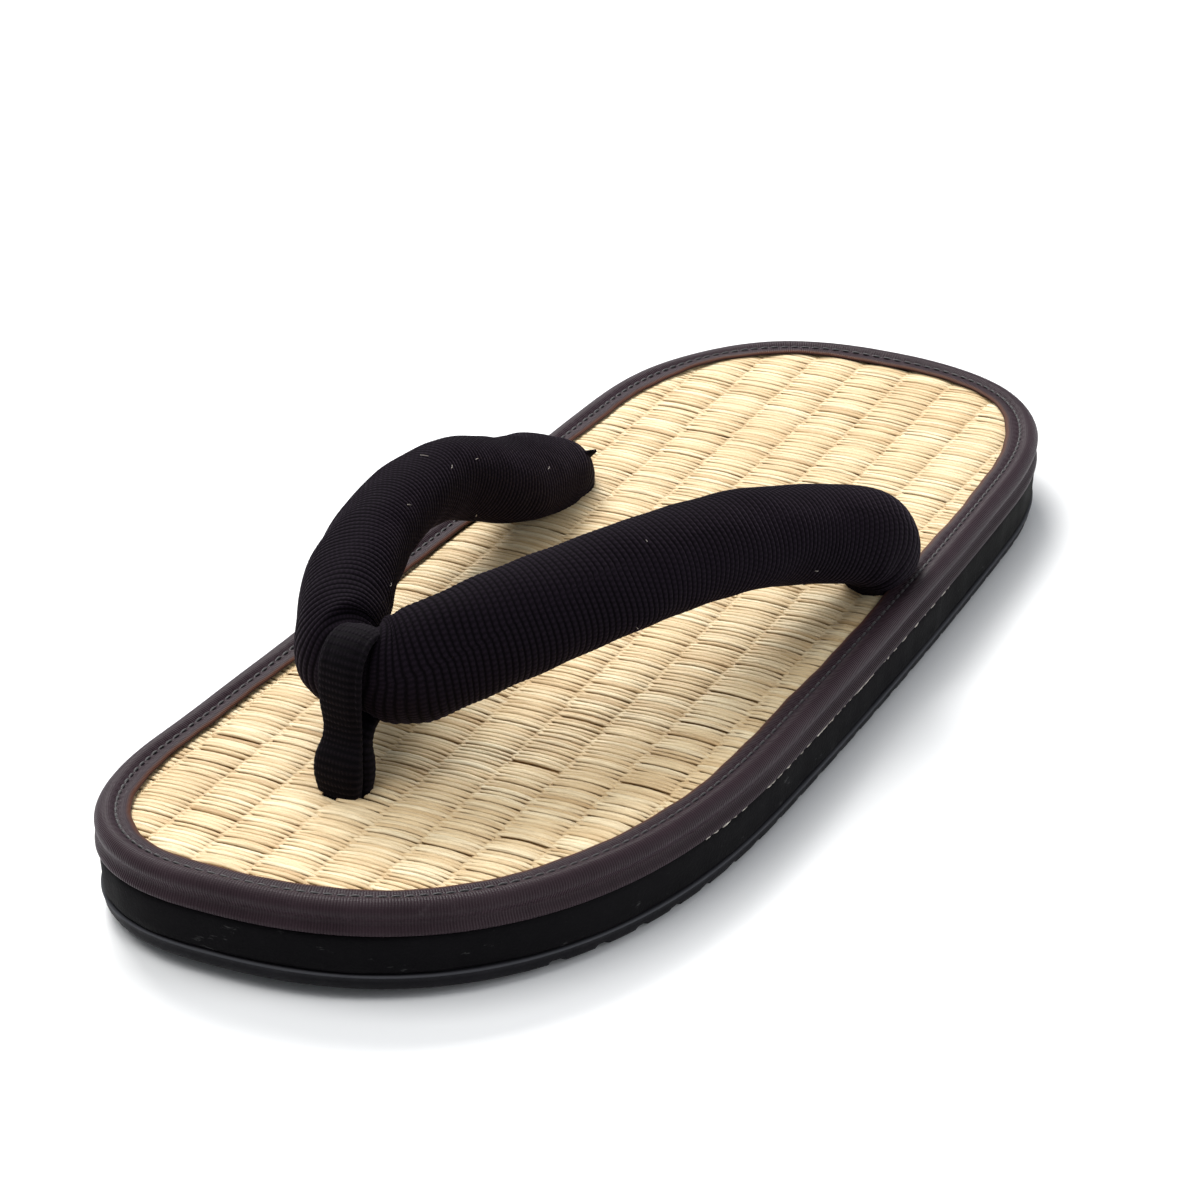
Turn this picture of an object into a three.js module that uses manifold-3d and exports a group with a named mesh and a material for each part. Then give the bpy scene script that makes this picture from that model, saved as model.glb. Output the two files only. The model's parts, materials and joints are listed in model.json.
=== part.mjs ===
// Zori sandal for either foot: a flat layered sole with a rush mat top, a taped edge, and a padded thong
// strap held at the front by a cloth loop. Millimetres, +Z up, +Y towards the heel, +X to the more curved
// side.
import * as THREE from "three";
import { mergeVertices } from "three/addons/utils/BufferGeometryUtils.js";
import Module from "manifold-3d";

const wasm = await Module();
wasm.setup();

// Outline of the sole seen from above.
const toeY = -124; // foremost point of the sole edge
const heelY = 124; // rearmost point of the sole edge
const outerHalf = 48.6; // widest reach on the +X side
const outerWidestY = -32; // where that side is widest
const outerTaper = 3; // how much narrower that side is at the start of the heel curve
const heelCurveY = 74; // where the heel curves start
const innerHalf = 46.6; // reach on the -X side at mid length
const innerLean = 0.024; // how much that side opens per millimetre towards the toe
const endCurves = {
  toe: {
    apexX: -15.5,
    apexY: toeY,
    outerStart: outerWidestY,
    outerPower: 2.42,
    innerStart: -83,
    innerPower: 2.36,
  },
  heel: {
    apexX: -2.2,
    apexY: heelY,
    outerStart: heelCurveY,
    outerPower: 2.9,
    innerStart: heelCurveY,
    innerPower: 2.34,
  },
};
const stations = 48; // cross sections from toe to heel

// Heights of the layers at mid length, with the clearance that touching layers keep.
const gap = 0.3;
const outsoleTop = 3.2;
const midsoleTop = 10.6;
const insoleTop = 13.7;
const matTop = 15.4;
const matEdgeInset = 2.4; // the mat and the insole stop this far inside the sole edge

// Bend of the whole sole in side view, and the arch under the outsole.
const toeSpring = { start: -56, rise: 2.2 };
const heelSpring = { start: 98, rise: 0.5 };
const arch = { from: -32, to: 42, rise: 0.7 };

// Tread grooves across the outsole, each cut this many half widths of the sole long.
const tread = { first: -96, last: 108, pitch: 8.5, width: 2, depth: 1.1, halfWidths: 4 };

// Edge profiles, read upwards: how far the wall stands inside the sole edge at each height.
const outsoleEdge = [
  { inset: 2.4, z: 0 },
  { inset: 1.4, z: 0.5 },
  { inset: 0.9, z: 1.4 },
  { inset: 0.8, z: outsoleTop },
];
const midsoleEdge = [
  { inset: 0.9, z: outsoleTop + gap },
  { inset: 0.75, z: 5.5 },
  { inset: 0.55, z: 9.8 },
  { inset: 0.7, z: midsoleTop },
];
const insoleEdge = [
  { inset: matEdgeInset, z: midsoleTop + gap },
  { inset: matEdgeInset, z: insoleTop },
];
const matEdge = [
  { inset: matEdgeInset, z: insoleTop + gap },
  { inset: matEdgeInset, z: matTop },
];

// Section of the edge tape: up the outside over the roll to the lip on the mat, then back along its inside.
const bindingSection = [
  { inset: 0.4, z: 10.9 },
  { inset: 0, z: 11.6 },
  { inset: 0.8, z: 13 },
  { inset: 0.1, z: 14.3 },
  { inset: 0.3, z: 15.5 },
  { inset: 1.2, z: 16.4 },
  { inset: 2.3, z: 16.6 },
  { inset: 3.5, z: 16.1 },
  { inset: 4.9, z: 16.3 },
  { inset: 6.1, z: 16 },
  { inset: 6.2, z: 15.7 },
  { inset: 3.2, z: 15.7 },
  { inset: 2.1, z: 15.4 },
  { inset: 1.4, z: 14.4 },
  { inset: 1.9, z: 13 },
  { inset: 1.8, z: 10.9 },
];

// The room that the strap leaves round the edge tape.
const tapeRoom = [
  { inset: -4, z: 10 },
  { inset: -4, z: 16.9 },
  { inset: 6.5, z: 16.9 },
  { inset: 6.5, z: 10 },
];

// The strap's own axes on the mat: the loop's hole, and the direction from it towards the heel.
const loopX = -11.2;
const loopY = -83.7;
const strapTurn = 0.098; // how far the strap's axis turns towards +X, in radians
const holeBottom = midsoleTop + 2 * gap;
const footReach = 4; // how many clearances a hole goes deeper than what stands in it

// A row of an arm of the strap: place across and along the strap's axis from the loop's hole, height over the
// mat, how far both arms are pulled towards +X and how much lower the -X arm lies, half width and half
// thickness, and the way that its wide face looks.
function armRow(across, along, height, shift, sag, wide, thin, faceAcross, faceAlong, faceUp) {
  return { across, along, height, shift, sag, wide, thin, faceAcross, faceAlong, faceUp };
}

// One arm from the loop to its hole.
const armRows = [
  armRow(-4, 7, 20.5, 0, 0, 6, 3.6, 0, -1, 0.1),
  armRow(3, 7.6, 20.3, 0, 0, 9, 6.5, 0.3, -1, 0.1),
  armRow(11.3, 17.3, 22.8, 0, 0, 9.8, 8, 0.75, -0.6, 0.25),
  armRow(22, 42, 25.2, 0, 0.3, 9.8, 7.5, 0.8, -0.2, 0.75),
  armRow(28.3, 70, 23.4, 0.5, 1, 9.6, 7.3, 0.7, 0.2, 0.6),
  armRow(31, 95, 17, 2, 2.4, 9.5, 8.8, 0.85, 0.5, 0.5),
  armRow(35.5, 113, 9.4, 2.8, 1, 8.8, 8.6, 0.9, 0.3, 0.3),
  armRow(35, 118, 3, 2, 0, 8.5, 6.8, 1, 0.1, 0),
  armRow(34.9, 118, -4, 2, 0, 8.2, 5.4, 1, 0, 0),
];
const armSteps = 44;
const armSides = 20;

// The loop: a stem up from its hole and a band round the front of the strap.
const stemRows = [
  { height: holeBottom - matTop, along: 0, halfWidth: 3.6, halfDepth: 2.2 },
  { height: 1, along: 0, halfWidth: 4, halfDepth: 2.4 },
  { height: 5, along: 0.3, halfWidth: 4.9, halfDepth: 2.8 },
  { height: 8.5, along: 1, halfWidth: 4.4, halfDepth: 2.6 },
  { height: 11, along: 2.4, halfWidth: 3.4, halfDepth: 2.2 },
  { height: 13, along: 3.4, halfWidth: 3.5, halfDepth: 2.2 },
];
const stemSides = 16;
const stemSquareness = 0.7; // 1 is an ellipse, less is squarer
const band = { along: 5, height: 20.6, halfAlong: 6, halfHeight: 8.2, thick: 1.4, front: 4, back: 2 };
const bandSteps = 32;
const bandNarrowing = { from: 0.2, to: 0.9 }; // where the band goes from its front to its back width

function outerSide(y) {
  const past = Math.max(0, (y - outerWidestY) / (heelCurveY - outerWidestY));
  return outerHalf - outerTaper * past * past;
}

function innerSide(y) {
  return -(innerHalf - innerLean * y);
}

// Pulls a side in towards the tip of the toe or heel along a rounded curve.
function roundedEnd(y, side, end, start, power) {
  const share = Math.min(1, Math.abs(y - start) / Math.abs(end.apexY - start));
  return end.apexX + (side - end.apexX) * Math.pow(1 - Math.pow(share, power), 1 / power);
}

function outerEdgeX(y) {
  const { toe, heel } = endCurves;
  if (y < toe.outerStart) return roundedEnd(y, outerSide(y), toe, toe.outerStart, toe.outerPower);
  if (y > heel.outerStart) return roundedEnd(y, outerSide(y), heel, heel.outerStart, heel.outerPower);
  return outerSide(y);
}

function innerEdgeX(y) {
  const { toe, heel } = endCurves;
  if (y < toe.innerStart) return roundedEnd(y, innerSide(y), toe, toe.innerStart, toe.innerPower);
  if (y > heel.innerStart) return roundedEnd(y, innerSide(y), heel, heel.innerStart, heel.innerPower);
  return innerSide(y);
}

// The closed edge from the toe tip along +X to the heel tip and back, with its outward directions.
function soleEdge() {
  const middle = (toeY + heelY) / 2;
  const half = (heelY - toeY) / 2;
  const points = [];
  for (let i = 0; i <= stations; i++) {
    const y = middle - half * Math.cos((Math.PI * i) / stations);
    points.push(new THREE.Vector2(outerEdgeX(y), y));
  }
  for (let i = stations - 1; i > 0; i--) {
    points.push(new THREE.Vector2(innerEdgeX(points[i].y), points[i].y));
  }
  const outward = points.map((_, i) => {
    const before = points[(i + points.length - 1) % points.length];
    const after = points[(i + 1) % points.length];
    const along = after.clone().sub(before).normalize();
    return new THREE.Vector2(along.y, -along.x);
  });
  return { points, outward };
}

const edge = soleEdge();

// How far the sole is lifted at a place along its length.
function spring(y) {
  const toeShare = Math.max(0, (toeSpring.start - y) / (toeSpring.start - toeY));
  const heelShare = Math.max(0, (y - heelSpring.start) / (heelY - heelSpring.start));
  return toeSpring.rise * toeShare * toeShare + heelSpring.rise * heelShare * heelShare;
}

function archLift(y) {
  const share = (y - arch.from) / (arch.to - arch.from);
  return share > 0 && share < 1 ? arch.rise * Math.sin(Math.PI * share) ** 2 : 0;
}

// One ring of points at an inset from the sole edge and a height.
function edgeRing({ inset, z }, lift = () => 0) {
  return edge.points.map((point, i) => {
    const x = point.x - edge.outward[i].x * inset;
    const y = point.y - edge.outward[i].y * inset;
    return [x, y, z + spring(y) + lift(y)];
  });
}

function geometryOf(vertices, faces) {
  const geometry = new THREE.BufferGeometry();
  geometry.setAttribute("position", new THREE.Float32BufferAttribute(vertices.flat(), 3));
  geometry.setIndex(faces.flat());
  return geometry;
}

function bandFaces(faces, ringSize, lower, upper) {
  for (let i = 0; i < ringSize; i++) {
    const next = (i + 1) % ringSize;
    faces.push([lower + i, lower + next, upper + next], [lower + i, upper + next, upper + i]);
  }
}

// A sole layer: rings stacked upwards, closed below and above by strips across the shoe.
function layer(profile, bottomLift) {
  const rings = profile.map((row, i) => edgeRing(row, i === 0 ? bottomLift : undefined));
  const size = edge.points.length;
  const faces = [];
  for (let i = 0; i + 1 < rings.length; i++) bandFaces(faces, size, i * size, (i + 1) * size);
  const top = (rings.length - 1) * size;
  for (let i = 0; i < stations; i++) {
    const right = i;
    const rightNext = i + 1;
    const left = (size - i) % size;
    const leftNext = size - i - 1;
    if (left !== right) {
      faces.push([right, left, rightNext]);
      faces.push([top + right, top + rightNext, top + left]);
    }
    if (leftNext !== rightNext) {
      faces.push([rightNext, left, leftNext]);
      faces.push([top + rightNext, top + leftNext, top + left]);
    }
  }
  return geometryOf(rings.flat(), faces);
}

// A closed ring round the sole, from the rows of its section.
function edgeTape(section) {
  const rings = section.map((row) => edgeRing(row));
  const size = edge.points.length;
  const faces = [];
  rings.forEach((_, i) => bandFaces(faces, size, i * size, ((i + 1) % rings.length) * size));
  return geometryOf(rings.flat(), faces);
}

// A tube through rings of equal size, closed at both ends by a middle point.
function capped(rings) {
  const size = rings[0].length;
  const vertices = rings.flat();
  const faces = [];
  for (let i = 0; i + 1 < rings.length; i++) bandFaces(faces, size, i * size, (i + 1) * size);
  for (const ring of [0, rings.length - 1]) {
    const middle = vertices.length;
    vertices.push([0, 1, 2].map((axis) => rings[ring].reduce((sum, p) => sum + p[axis], 0) / size));
    for (let i = 0; i < size; i++) {
      const next = (i + 1) % size;
      const [a, b] = ring === 0 ? [next, i] : [i, next];
      faces.push([middle, ring * size + a, ring * size + b]);
    }
  }
  return geometryOf(vertices, faces);
}

function solidOf(geometry) {
  const bare = geometry.clone();
  bare.deleteAttribute("normal");
  bare.deleteAttribute("uv");
  const merged = mergeVertices(bare, 1e-4);
  const mesh = new wasm.Mesh({
    numProp: 3,
    vertProperties: merged.attributes.position.array,
    triVerts: new Uint32Array(merged.index.array),
  });
  return new wasm.Manifold(mesh);
}

function geometryFrom(solid) {
  const mesh = solid.getMesh();
  const geometry = new THREE.BufferGeometry();
  geometry.setAttribute("position", new THREE.BufferAttribute(mesh.vertProperties, mesh.numProp));
  geometry.setIndex(new THREE.BufferAttribute(mesh.triVerts, 1));
  return geometry;
}

// Turns a direction or a place in the strap's axes (across, along, up) to the shoe's.
function strapDirection(across, along, up) {
  const turned = new THREE.Vector3(across, along, up);
  return turned.applyAxisAngle(new THREE.Vector3(0, 0, 1), -strapTurn);
}

function strapPlace(across, along, height) {
  const place = strapDirection(across, along, matTop + height);
  place.add(new THREE.Vector3(loopX, loopY, 0));
  place.z += spring(place.y);
  return place;
}

// A value of the rows at a share of their length, with smooth steps between rows.
function rowValue(rows, column, share) {
  const place = share * (rows.length - 1);
  const low = Math.min(rows.length - 2, Math.floor(place));
  const blend = THREE.MathUtils.smoothstep(place - low, 0, 1);
  return THREE.MathUtils.lerp(rows[low][column], rows[low + 1][column], blend);
}

// One arm, on the +1 or the -1 side of the strap's axis. `grow` makes it fatter all round, and longer at its
// foot, as the cutter for its hole.
function armGeometry(side, grow) {
  const path = new THREE.CatmullRomCurve3(
    armRows.map((row, i) => {
      const deeper = i === armRows.length - 1 ? footReach * grow : 0;
      const lower = side < 0 ? row.sag : 0;
      return strapPlace(side * row.across + row.shift, row.along, row.height - deeper - lower);
    }),
    false,
    "centripetal",
  );
  const rings = [];
  for (let i = 0; i <= armSteps; i++) {
    const share = i / armSteps;
    const centre = path.getPoint(share);
    const tangent = path.getTangent(share);
    const face = strapDirection(
      side * rowValue(armRows, "faceAcross", share),
      rowValue(armRows, "faceAlong", share),
      rowValue(armRows, "faceUp", share),
    );
    const normal = face.addScaledVector(tangent, -face.dot(tangent)).normalize();
    const width = new THREE.Vector3().crossVectors(tangent, normal);
    const wide = rowValue(armRows, "wide", share) + grow;
    const thin = rowValue(armRows, "thin", share) + grow;
    const ring = [];
    for (let k = 0; k < armSides; k++) {
      const angle = (2 * Math.PI * k) / armSides;
      const point = centre.clone();
      point.addScaledVector(normal, thin * Math.cos(angle));
      point.addScaledVector(width, wide * Math.sin(angle));
      ring.push(point.toArray());
    }
    rings.push(ring);
  }
  return capped(rings);
}

// The loop's stem: rounded sections stacked up from the hole.
function stemGeometry(grow) {
  const squared = (value) => Math.sign(value) * Math.abs(value) ** stemSquareness;
  const rings = stemRows.map((row, i) => {
    const height = i === 0 ? row.height - footReach * grow : row.height;
    const ring = [];
    for (let k = 0; k < stemSides; k++) {
      const angle = (2 * Math.PI * k) / stemSides;
      const across = squared(Math.cos(angle)) * (row.halfWidth + grow);
      const along = squared(Math.sin(angle)) * (row.halfDepth + grow);
      ring.push(strapPlace(across, row.along + along, height).toArray());
    }
    return ring;
  });
  return capped(rings);
}

// The loop's band: a flat tape closed round the strap, wide over its front and narrow between the arms.
function bandGeometry(grow) {
  const rings = [];
  for (let i = 0; i < bandSteps; i++) {
    const angle = (2 * Math.PI * i) / bandSteps;
    const toBack = THREE.MathUtils.smoothstep(Math.sin(angle), bandNarrowing.from, bandNarrowing.to);
    const half = THREE.MathUtils.lerp(band.front, band.back, toBack) + grow;
    const ring = [];
    for (const [across, outward] of [[-1, -1], [-1, 1], [1, 1], [1, -1]]) {
      const reach = outward * (band.thick / 2 + grow);
      const along = band.along + (band.halfAlong + reach) * Math.sin(angle);
      const height = band.height + (band.halfHeight + reach) * Math.cos(angle);
      ring.push(strapPlace(across * half, along, height).toArray());
    }
    rings.push(ring);
  }
  const faces = [];
  rings.forEach((_, i) => bandFaces(faces, 4, i * 4, ((i + 1) % bandSteps) * 4));
  return geometryOf(rings.flat(), faces);
}

function loopSolid(grow) {
  return solidOf(bandGeometry(grow)).add(solidOf(stemGeometry(grow)));
}

function strapSolid(grow) {
  return solidOf(armGeometry(1, grow)).add(solidOf(armGeometry(-1, grow)));
}

function outsoleGeometry() {
  let solid = solidOf(layer(outsoleEdge, archLift));
  for (let y = tread.first; y <= tread.last; y += tread.pitch) {
    const groove = new THREE.BoxGeometry(tread.halfWidths * outerHalf, tread.width, 2 * tread.depth);
    groove.translate(0, y, spring(y) + archLift(y));
    solid = solid.subtract(solidOf(groove));
  }
  return geometryFrom(solid);
}

// A layer with the holes that the strap and the loop go down.
function piercedGeometry(profile) {
  const solid = solidOf(layer(profile));
  return geometryFrom(solid.subtract(strapSolid(gap)).subtract(loopSolid(gap)));
}

function strapGeometry() {
  return geometryFrom(strapSolid(0).subtract(loopSolid(gap)).subtract(solidOf(edgeTape(tapeRoom))));
}

const materials = {
  rubber: new THREE.MeshStandardMaterial({ color: 0x2b2a2e, roughness: 0.75, metalness: 0 }),
  foam: new THREE.MeshStandardMaterial({ color: 0x131214, roughness: 0.85, metalness: 0 }),
  board: new THREE.MeshStandardMaterial({ color: 0x8a7456, roughness: 0.9, metalness: 0 }),
  rush: new THREE.MeshStandardMaterial({ color: 0xe6cf9f, roughness: 0.7, metalness: 0 }),
  tape: new THREE.MeshStandardMaterial({ color: 0x362a30, roughness: 0.6, metalness: 0 }),
  cloth: new THREE.MeshStandardMaterial({ color: 0x151216, roughness: 0.9, metalness: 0 }),
};

function part(name, geometry, material) {
  const mesh = new THREE.Mesh(geometry, material);
  mesh.name = name;
  return mesh;
}

const sandal = new THREE.Group();
sandal.add(
  part("outsole", outsoleGeometry(), materials.rubber),
  part("midsole", layer(midsoleEdge), materials.foam),
  part("insole", piercedGeometry(insoleEdge), materials.board),
  part("mat", piercedGeometry(matEdge), materials.rush),
  part("binding", edgeTape(bindingSection), materials.tape),
  part("strap", strapGeometry(), materials.cloth),
  part("toe_loop", geometryFrom(loopSolid(0)), materials.cloth),
);

export default sandal;
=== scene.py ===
import json
import math
import bpy
import numpy as np
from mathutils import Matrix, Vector

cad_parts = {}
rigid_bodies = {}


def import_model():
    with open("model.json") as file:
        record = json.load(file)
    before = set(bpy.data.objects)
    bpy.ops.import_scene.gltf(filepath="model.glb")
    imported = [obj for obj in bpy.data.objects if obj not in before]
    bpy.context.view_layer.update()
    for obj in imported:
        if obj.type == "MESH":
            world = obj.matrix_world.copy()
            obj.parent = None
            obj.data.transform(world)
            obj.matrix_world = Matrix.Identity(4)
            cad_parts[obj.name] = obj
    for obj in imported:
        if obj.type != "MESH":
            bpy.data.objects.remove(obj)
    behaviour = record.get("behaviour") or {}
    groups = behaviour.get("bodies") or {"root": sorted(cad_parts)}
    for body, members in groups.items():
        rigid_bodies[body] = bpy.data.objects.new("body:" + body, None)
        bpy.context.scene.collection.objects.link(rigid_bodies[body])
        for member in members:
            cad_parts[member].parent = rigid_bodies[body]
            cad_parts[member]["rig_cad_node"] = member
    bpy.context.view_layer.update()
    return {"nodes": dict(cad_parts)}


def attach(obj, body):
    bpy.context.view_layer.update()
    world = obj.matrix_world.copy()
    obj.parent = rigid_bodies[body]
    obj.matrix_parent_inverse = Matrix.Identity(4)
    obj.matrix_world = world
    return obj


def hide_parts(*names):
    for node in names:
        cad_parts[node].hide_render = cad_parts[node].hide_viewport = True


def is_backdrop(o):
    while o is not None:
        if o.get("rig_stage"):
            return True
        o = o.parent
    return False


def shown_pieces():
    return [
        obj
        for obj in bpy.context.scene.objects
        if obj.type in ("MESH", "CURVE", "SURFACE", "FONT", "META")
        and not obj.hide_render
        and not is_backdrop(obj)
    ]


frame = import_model()
mm = 0.001
print("frame loaded")


# ---- small tools for meshes and nodes
def meshFrom(name, points, faces, corners=None):
    # points in millimetres; corners is a dict of values per face corner
    mesh = bpy.data.meshes.new(name)
    mesh.from_pydata((np.asarray(points, float) * mm).tolist(), [], [list(map(int, f)) for f in faces])
    for key, values in (corners or {}).items():
        layer = mesh.attributes.new(key, "FLOAT", "CORNER")
        layer.data.foreach_set("value", np.asarray(values, np.float32).ravel())
    mesh.polygons.foreach_set("use_smooth", [True] * len(mesh.polygons))
    mesh.update()
    piece = bpy.data.objects.new(name, mesh)
    bpy.context.scene.collection.objects.link(piece)
    return piece


def gridFaces(rows, columns, closeRows=False):
    # quads of a grid of points, closed round its columns, with the row and column number of each corner
    r = np.arange(rows if closeRows else rows - 1)
    rowAt, columnAt = np.meshgrid(r, np.arange(columns), indexing="ij")
    rowAt, columnAt = rowAt.ravel(), columnAt.ravel()
    cornerRows = np.stack([rowAt, rowAt + 1, rowAt + 1, rowAt], 1)
    cornerColumns = np.stack([columnAt, columnAt, columnAt + 1, columnAt + 1], 1)
    faces = (cornerRows % rows) * columns + cornerColumns % columns
    return faces, cornerRows, cornerColumns


def sweptGrid(name, grid, closeRows=False, values=None, caps=False):
    # a grid of points (rows, columns, 3); values gives a number for (rows + 1, columns + 1) corners
    rows, columns = grid.shape[:2]
    faces, cornerRows, cornerColumns = gridFaces(rows, columns, closeRows)
    points = grid.reshape(-1, 3)
    allFaces = faces.tolist()
    corners = {k: v[cornerRows, cornerColumns].ravel().tolist() for k, v in (values or {}).items()}
    if caps:
        for row, flip in ((0, 1), (rows - 1, 0)):
            middle = len(points)
            points = np.vstack([points, grid[row].mean(0)])
            for c in range(columns):
                pair = [row * columns + c, row * columns + (c + 1) % columns]
                allFaces.append([middle] + (pair if flip else pair[::-1]))
                for k, v in (values or {}).items():
                    corners[k] += [float(v[row, c])] * 3
    return meshFrom(name, points, allFaces, corners)


def manyTubes(name, lines, sides, radius, squash=1.0, tones=None):
    # lines: (count, stations, 3) centre lines; radius: (count, stations) half widths; one joined mesh
    count, stations = lines.shape[:2]
    along = np.gradient(lines, axis=1)
    along /= np.linalg.norm(along, axis=2, keepdims=True)
    across = np.cross(along, (0, 0, 1.0))
    across /= np.linalg.norm(across, axis=2, keepdims=True)
    upward = np.cross(across, along)
    angle = 2 * np.pi * (np.arange(sides) + 0.5) / sides
    ring = (lines[:, :, None] + across[:, :, None] * (radius[:, :, None] * np.cos(angle))[..., None]
            + upward[:, :, None] * (squash * radius[:, :, None] * np.sin(angle))[..., None])
    one, cornerRows, _ = gridFaces(stations, sides)
    size = stations * sides
    faces = (one[None] + (np.arange(count) * size)[:, None, None]).reshape(-1, 4)
    ends = [list(range(sides))[::-1], [(stations - 1) * sides + c for c in range(sides)]]
    caps = (np.array(ends)[None] + (np.arange(count) * size)[:, None, None]).reshape(-1, sides)
    tone = np.zeros(count) if tones is None else tones
    share = (cornerRows / (stations - 1)).ravel()
    corners = {
        "tone": np.concatenate([np.repeat(tone, len(one) * 4), np.repeat(tone, 2 * sides)]),
        "share": np.concatenate([np.tile(share, count), np.tile(np.repeat([0.0, 1.0], sides), count)]),
    }
    return meshFrom(name, ring.reshape(-1, 3), faces.tolist() + caps.tolist(), corners)


def smoothCurve(rows, steps, closed=False):
    # rows of numbers whose first three are a place: a smooth curve through them at even steps along it
    rows = np.asarray(rows, float)
    if closed:
        rows = np.vstack([rows[-3:], rows, rows[:3]])
    gaps = np.maximum(np.linalg.norm(np.diff(rows[:, :3], axis=0), axis=1), 1e-6) ** 0.7
    knots = np.concatenate([[0], np.cumsum(gaps)])
    slopes = np.gradient(rows, knots, axis=0)
    first, last = (knots[3], knots[-3]) if closed else (knots[0], knots[-1])

    def at(t):
        i = np.clip(np.searchsorted(knots, t, side="right") - 1, 0, len(knots) - 2)
        h = (knots[i + 1] - knots[i])[:, None]
        u = ((t - knots[i]) / h[:, 0])[:, None]
        return ((2 * u**3 - 3 * u**2 + 1) * rows[i] + (u**3 - 2 * u**2 + u) * h * slopes[i]
                + (3 * u**2 - 2 * u**3) * rows[i + 1] + (u**3 - u**2) * h * slopes[i + 1])

    finePerRow = 40
    fine = np.linspace(first, last, finePerRow * len(rows))
    path = at(fine)
    length = np.concatenate([[0], np.cumsum(np.linalg.norm(np.diff(path[:, :3], axis=0), axis=1))])
    wanted = np.linspace(0, length[-1], steps + 1)[:-1] if closed else np.linspace(0, length[-1], steps)
    return at(np.interp(wanted, length, fine)), wanted


def bell(x, middle, width):
    return np.exp(-(((x - middle) / width) ** 2))


socketNames = {"color": "Base Color", "rough": "Roughness", "normal": "Normal",
               "gloss": "Specular IOR Level", "sheen": "Sheen Weight", "sheenRough": "Sheen Roughness",
               "sheenTint": "Sheen Tint"}


class Nodes:
    # short names for building a material's nodes
    def __init__(self, name):
        self.material = bpy.data.materials.new(name)
        self.material.use_nodes = True
        self.tree = self.material.node_tree
        self.shader = self.tree.nodes["Principled BSDF"]

    def put(self, kind, inputs=None, **settings):
        node = self.tree.nodes.new(kind)
        for key, value in settings.items():
            setattr(node, key, value)
        for key, value in (inputs or {}).items():
            self.join(value, node.inputs[key])
        return node

    def join(self, value, socket):
        if isinstance(value, bpy.types.NodeSocket):
            self.tree.links.new(value, socket)
        else:
            socket.default_value = value

    def math(self, operation, a, b=0.0):
        return self.put("ShaderNodeMath", {0: a, 1: b}, operation=operation).outputs[0]

    def value(self, name):
        return self.put("ShaderNodeAttribute", attribute_name=name).outputs["Fac"]

    def place(self, scale=(1, 1, 1)):
        where = self.put("ShaderNodeTexCoord").outputs["Object"]
        return self.put("ShaderNodeMapping", {"Vector": where, "Scale": scale}).outputs[0]

    def noise(self, scale, detail=3.0, rough=0.55, vector=None):
        inputs = {"Scale": scale, "Detail": detail, "Roughness": rough}
        inputs["Vector"] = self.place() if vector is None else vector
        return self.put("ShaderNodeTexNoise", inputs).outputs["Fac"]

    def ramp(self, value, stops):
        node = self.put("ShaderNodeValToRGB", {"Fac": value})
        ends = node.color_ramp.elements
        while len(ends) < len(stops):
            ends.new(0.5)
        for end, (position, colour) in zip(ends, stops):
            end.position = position
            end.color = (*colour, 1)
        return node.outputs["Color"]

    def spread(self, value, low, high, newLow=0.0, newHigh=1.0):
        inputs = {"Value": value, "From Min": low, "From Max": high, "To Min": newLow, "To Max": newHigh}
        return self.put("ShaderNodeMapRange", inputs).outputs[0]

    def blend(self, factor, a, b):
        node = self.put("ShaderNodeMix", data_type="RGBA")
        for socket, value in zip((node.inputs[0], node.inputs[6], node.inputs[7]), (factor, a, b)):
            self.join((*value, 1) if isinstance(value, tuple) else value, socket)
        return node.outputs[2]

    def bump(self, height, distance, strength):
        inputs = {"Height": height, "Distance": distance, "Strength": strength}
        return self.put("ShaderNodeBump", inputs).outputs[0]

    def finish(self, **sockets):
        for key, value in sockets.items():
            self.join(value, self.shader.inputs[socketNames[key]])
        return self.material


def dress(piece, material):
    piece.data.materials.clear()
    piece.data.materials.append(material)
    if "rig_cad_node" not in piece:
        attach(piece, "root")
    return piece


# ---- the sole's outline, which every layer follows
sole = {
    "toeY": -124.0, "heelY": 124.0, "outerHalf": 48.6, "outerWidestY": -32.0, "outerTaper": 3.0,
    "heelCurveY": 74.0, "innerHalf": 46.6, "innerLean": 0.024, "innerToeY": -83.0,
    "toeTipX": -15.5, "heelTipX": -2.2, "outerToePower": 2.42, "innerToePower": 2.36,
    "outerHeelPower": 2.9, "innerHeelPower": 2.34,
    "toeSpringY": -56.0, "toeRise": 2.2, "heelSpringY": 98.0, "heelRise": 0.5,
    "archFrom": -32.0, "archTo": 42.0, "archRise": 0.7, "stations": 1200, "steps": 4000,
}


def roundedEnd(y, side, tipX, tipY, start, power):
    share = np.clip((start - y) / (start - tipY), 0, 1)
    return tipX + (side - tipX) * (1 - share**power) ** (1 / power)


def outerX(y):
    past = np.clip((y - sole["outerWidestY"]) / (sole["heelCurveY"] - sole["outerWidestY"]), 0, None)
    side = sole["outerHalf"] - sole["outerTaper"] * past**2
    toe = roundedEnd(y, side, sole["toeTipX"], sole["toeY"], sole["outerWidestY"], sole["outerToePower"])
    heel = roundedEnd(y, side, sole["heelTipX"], sole["heelY"], sole["heelCurveY"], sole["outerHeelPower"])
    return np.where(y < sole["outerWidestY"], toe, np.where(y > sole["heelCurveY"], heel, side))


def innerX(y):
    side = -(sole["innerHalf"] - sole["innerLean"] * y)
    toe = roundedEnd(y, side, sole["toeTipX"], sole["toeY"], sole["innerToeY"], sole["innerToePower"])
    heel = roundedEnd(y, side, sole["heelTipX"], sole["heelY"], sole["heelCurveY"], sole["innerHeelPower"])
    return np.where(y < sole["innerToeY"], toe, np.where(y > sole["heelCurveY"], heel, side))


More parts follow.
